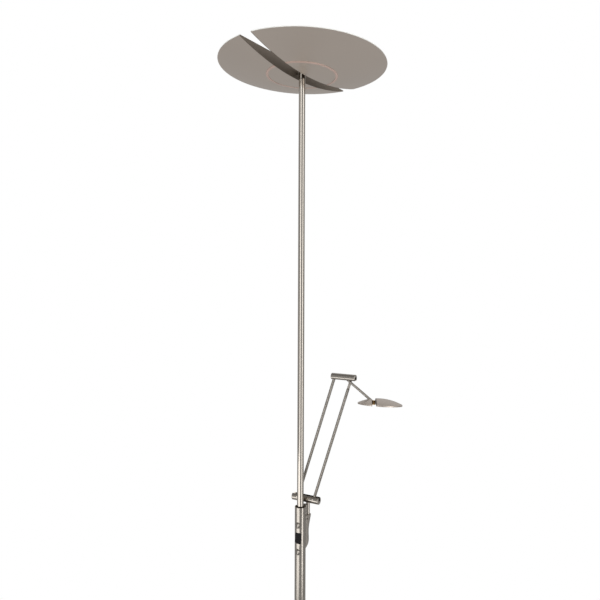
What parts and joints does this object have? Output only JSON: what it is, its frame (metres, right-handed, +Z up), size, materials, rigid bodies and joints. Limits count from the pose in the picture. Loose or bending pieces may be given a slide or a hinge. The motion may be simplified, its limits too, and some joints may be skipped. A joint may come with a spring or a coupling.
{
  "type": "torchiere floor lamp",
  "caption": "Uplighter floor lamp: a split dish tilting on a thin pole, and a small reading light on a parallel-rod arm with a swivel post.",
  "frame": {"origin": "centre of the base's felt underside, on the axis of the column and pole", "axes": "+Z up along the pole; -Y is the front that the picture is taken from; +X is the side that the reading arm reaches out to"},
  "size_m": [0.4099, 0.3825, 1.8953],
  "materials": {
    "satin_nickel": "satin nickel plate, fine lengthwise brushing",
    "dish_nickel": "spun sheet, satin nickel lacquer",
    "bronze_satin": "dark satin lacquer",
    "rose_trim": "rose-tinted satin trim",
    "polished_nickel": "polished nickel",
    "zinc_steel": "zinc-plated turned steel",
    "brass": "turned brass, satin",
    "black_plastic": "fine-grained black moulding",
    "circuit_board": "green circuit board",
    "heat_plate": "white-coated aluminium",
    "opal": "opal acrylic, satin outside",
    "cast_weight": "raw casting, blackened",
    "felt": "black felt",
    "rubber": "black rubber"
  },
  "bodies": {
    "stand": {"base_felt": "felt", "base_weight": "cast_weight", "base_cover": "satin_nickel", "cord_grommet": "rubber", "base_nipple": "zinc_steel", "base_washer": "zinc_steel", "base_nut": "zinc_steel", "column_spigot": "zinc_steel", "foot_collar": "satin_nickel", "column_tube": "satin_nickel", "column_reducer": "satin_nickel", "pole_tube": "satin_nickel", "pole_plug": "satin_nickel", "control_carrier": "black_plastic", "control_board": "circuit_board", "led_driver": "black_plastic", "arm_holder": "satin_nickel", "holder_grub_screw": "zinc_steel"},
    "dish": {"dish_axle": "zinc_steel", "dish_spacers": "bronze_satin", "dish_nuts": "zinc_steel", "dish_shell_left": "dish_nickel", "dish_wall_left": "bronze_satin", "dish_plate_left": "heat_plate", "dish_diffuser_left": "opal", "dish_ring_left": "rose_trim", "dish_shell_right": "dish_nickel", "dish_wall_right": "bronze_satin", "dish_plate_right": "heat_plate", "dish_diffuser_right": "opal", "dish_ring_right": "rose_trim"},
    "upper_button": {"upper_button": "polished_nickel"},
    "lower_button": {"lower_button": "polished_nickel"},
    "rocker": {"rocker_switch": "black_plastic"},
    "arm_swivel": {"arm_post": "satin_nickel", "lower_bracket": "satin_nickel", "lower_bracket_caps": "satin_nickel", "lower_bracket_pins": "polished_nickel"},
    "left_rod": {"left_rod": "satin_nickel"},
    "right_rod": {"right_rod": "satin_nickel"},
    "upper_bracket": {"upper_bracket": "satin_nickel", "upper_bracket_caps": "satin_nickel", "upper_bracket_pins": "polished_nickel"},
    "head_rod": {"head_rod": "satin_nickel", "head_knuckle": "brass"},
    "head": {"head_axle": "polished_nickel", "head_nuts": "zinc_steel", "head_shell_left": "dish_nickel", "head_wall_left": "bronze_satin", "head_plate_left": "heat_plate", "head_lens_left": "opal", "head_shell_right": "dish_nickel", "head_wall_right": "bronze_satin", "head_plate_right": "heat_plate", "head_lens_right": "opal"}
  },
  "joints": [
    {"name": "dish_tilt", "type": "hinge", "parent": "stand", "child": "dish", "pos_m": [0, 0, 1.868], "axis": [0.7912, -0.6115, 0], "range_deg": [-21.7, 28.3]},
    {"name": "upper_button_press", "type": "slide", "parent": "stand", "child": "upper_button", "axis": [0.4226, 0.9063, 0], "range_m": [0, 0.0012], "stiffness_N_per_m": 600, "springref_m": -0.002},
    {"name": "lower_button_press", "type": "slide", "parent": "stand", "child": "lower_button", "axis": [0.4226, 0.9063, 0], "range_m": [0, 0.0012], "stiffness_N_per_m": 600, "springref_m": -0.002},
    {"name": "rocker_tilt", "type": "hinge", "parent": "stand", "child": "rocker", "pos_m": [-0.00254, -0.00544, 0.812], "axis": [0.9063, -0.4226, 0], "range_deg": [0, 10]},
    {"name": "arm_turn", "type": "hinge", "parent": "stand", "child": "arm_swivel", "pos_m": [0.0175, 0.013, 0.858], "axis": [0, 0, 1], "range_deg": [-65, 15]},
    {"name": "arm_lean", "type": "hinge", "parent": "arm_swivel", "child": "left_rod", "pos_m": [-0.00471, 0.02531, 0.8953], "axis": [0.4848, 0.8746, 0], "range_deg": [-18, 50]},
    {"name": "right_rod_lean", "type": "hinge", "parent": "arm_swivel", "child": "right_rod", "pos_m": [0.03097, 0.00553, 0.8953], "axis": [0.4848, 0.8746, 0], "range_deg": [-18, 50]},
    {"name": "bracket_level", "type": "hinge", "parent": "left_rod", "child": "upper_bracket", "pos_m": [0.0755, -0.01915, 1.17673], "axis": [0.4848, 0.8746, 0], "range_deg": [-50, 18]},
    {"name": "head_rod_drop", "type": "hinge", "parent": "upper_bracket", "child": "head_rod", "pos_m": [0.09912, -0.03224, 1.17673], "axis": [0.4848, 0.8746, 0], "range_deg": [-15, 20]},
    {"name": "head_tilt", "type": "hinge", "parent": "head_rod", "child": "head", "pos_m": [0.15738, -0.06489, 1.12723], "axis": [0.9955, -0.0871, -0.0384], "range_deg": [-20, 20]}
  ],
  "couplings": [
    {"joint": "right_rod_lean", "follows": "arm_lean", "ratio": 1},
    {"joint": "bracket_level", "follows": "arm_lean", "ratio": -1}
  ]
}
